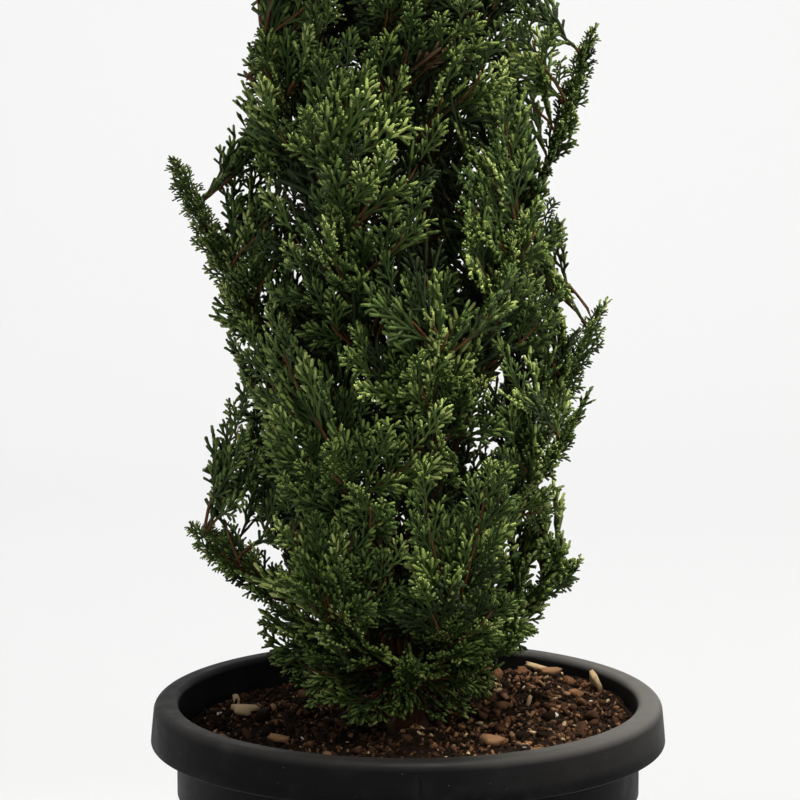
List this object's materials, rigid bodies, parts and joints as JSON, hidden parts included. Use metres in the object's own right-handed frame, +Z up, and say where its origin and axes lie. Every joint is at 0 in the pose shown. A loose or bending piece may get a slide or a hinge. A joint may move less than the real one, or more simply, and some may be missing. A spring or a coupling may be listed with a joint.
{
  "type": "potted cypress",
  "caption": "Narrow upright evergreen with ascending sprays of scale leaves, growing in a round black moulded nursery pot filled with bark and peat mix.",
  "frame": {"origin": "centre of the pot's flat underside, on the surface that it stands on", "axes": "+Z up the trunk, -Y towards the picture's viewer, +X to the picture's right"},
  "size_m": [0.25, 0.25, 0.905],
  "materials": {
    "pot_plastic": "black moulded polypropylene with a dusty satin face and a rounded rolled rim",
    "potting_mix": "damp dark brown composted bark and peat with pale chips",
    "bark": "thin fibrous red-brown bark",
    "foliage": "deep green scale leaves with a slight wax sheen and lighter tips"
  },
  "bodies": {
    "root": {"bough_01": "bark", "bough_02": "bark", "bough_03": "bark", "bough_04": "bark", "bough_05": "bark", "bough_06": "bark", "bough_07": "bark", "bough_08": "bark", "bough_09": "bark", "bough_10": "bark", "bough_11": "bark", "bough_12": "bark", "bough_13": "bark", "bough_14": "bark", "bough_15": "bark", "bough_16": "bark", "bough_17": "bark", "bough_18": "bark", "bough_19": "bark", "bough_20": "bark", "bough_21": "bark", "foliage_01": "foliage", "foliage_02": "foliage", "foliage_03": "foliage", "foliage_04": "foliage", "foliage_05": "foliage", "foliage_06": "foliage", "foliage_07": "foliage", "foliage_08": "foliage", "foliage_09": "foliage", "foliage_10": "foliage", "foliage_11": "foliage", "foliage_12": "foliage", "foliage_13": "foliage", "foliage_14": "foliage", "foliage_15": "foliage", "foliage_16": "foliage", "foliage_17": "foliage", "foliage_18": "foliage", "foliage_19": "foliage", "foliage_20": "foliage", "foliage_21": "foliage", "foliage_22": "foliage", "foliage_23": "foliage", "foliage_24": "foliage", "foliage_25": "foliage", "foliage_26": "foliage", "foliage_27": "foliage", "foliage_leader": "foliage", "pot": "pot_plastic", "potting_mix": "potting_mix", "trunk": "bark"}
  },
  "joints": []
}
